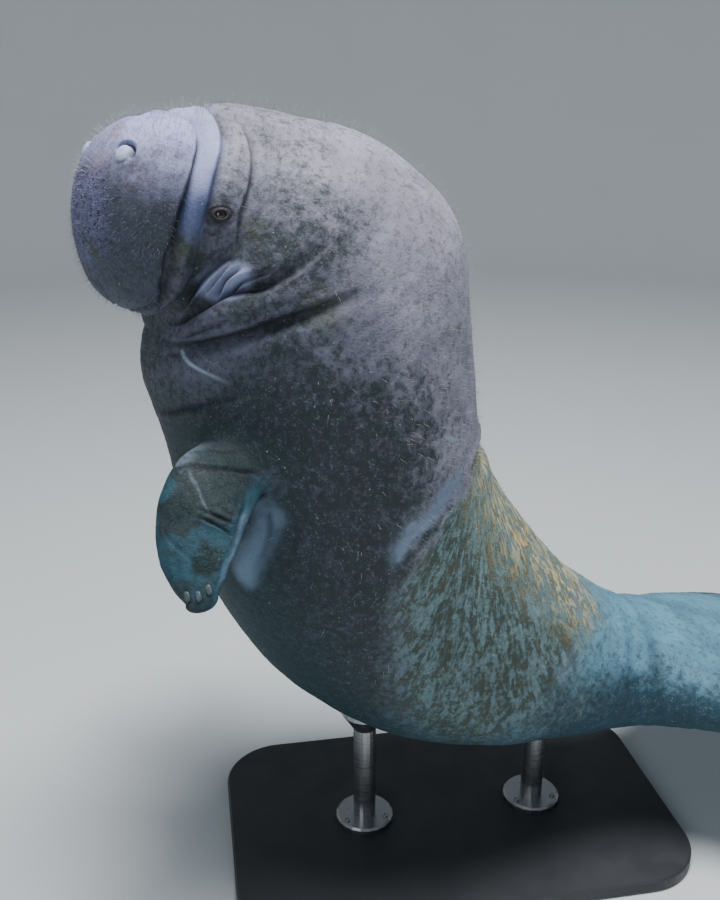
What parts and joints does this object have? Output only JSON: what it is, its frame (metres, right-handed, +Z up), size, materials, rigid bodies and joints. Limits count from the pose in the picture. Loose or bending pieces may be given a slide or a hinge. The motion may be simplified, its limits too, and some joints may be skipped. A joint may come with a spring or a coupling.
{
  "type": "manatee display model",
  "caption": "Life-size young manatee hanging upright, head turned to its left and paddle tail level, held over a flat base by two short rods.",
  "frame": {"origin": "centre of the underside of the stand's base", "axes": "+X toward the tail, -Y toward the animal's own left side, +Z up; the animal faces -X"},
  "size_m": [1.7386, 0.8766, 1.5091],
  "materials": {
    "hide": "thick grey hide, algae-stained on the lower back and tail",
    "eye": "wet dark brown",
    "nail": "dull horn",
    "base": "satin charcoal",
    "rod": "brushed"
  },
  "bodies": {
    "root": {"muzzle": "hide", "lower_jaw": "hide", "head": "hide", "neck": "hide", "chest": "hide", "belly": "hide", "loin": "hide", "tail_stock": "hide", "tail_paddle": "hide", "flipper_left": "hide", "flipper_right": "hide", "eye_left": "eye", "eye_right": "eye", "nail_left_1": "nail", "nail_left_2": "nail", "nail_left_3": "nail", "nail_right_1": "nail", "nail_right_2": "nail", "nail_right_3": "nail", "stand_base": "base", "stand_rod_front": "rod", "stand_rod_rear": "rod"}
  },
  "joints": []
}
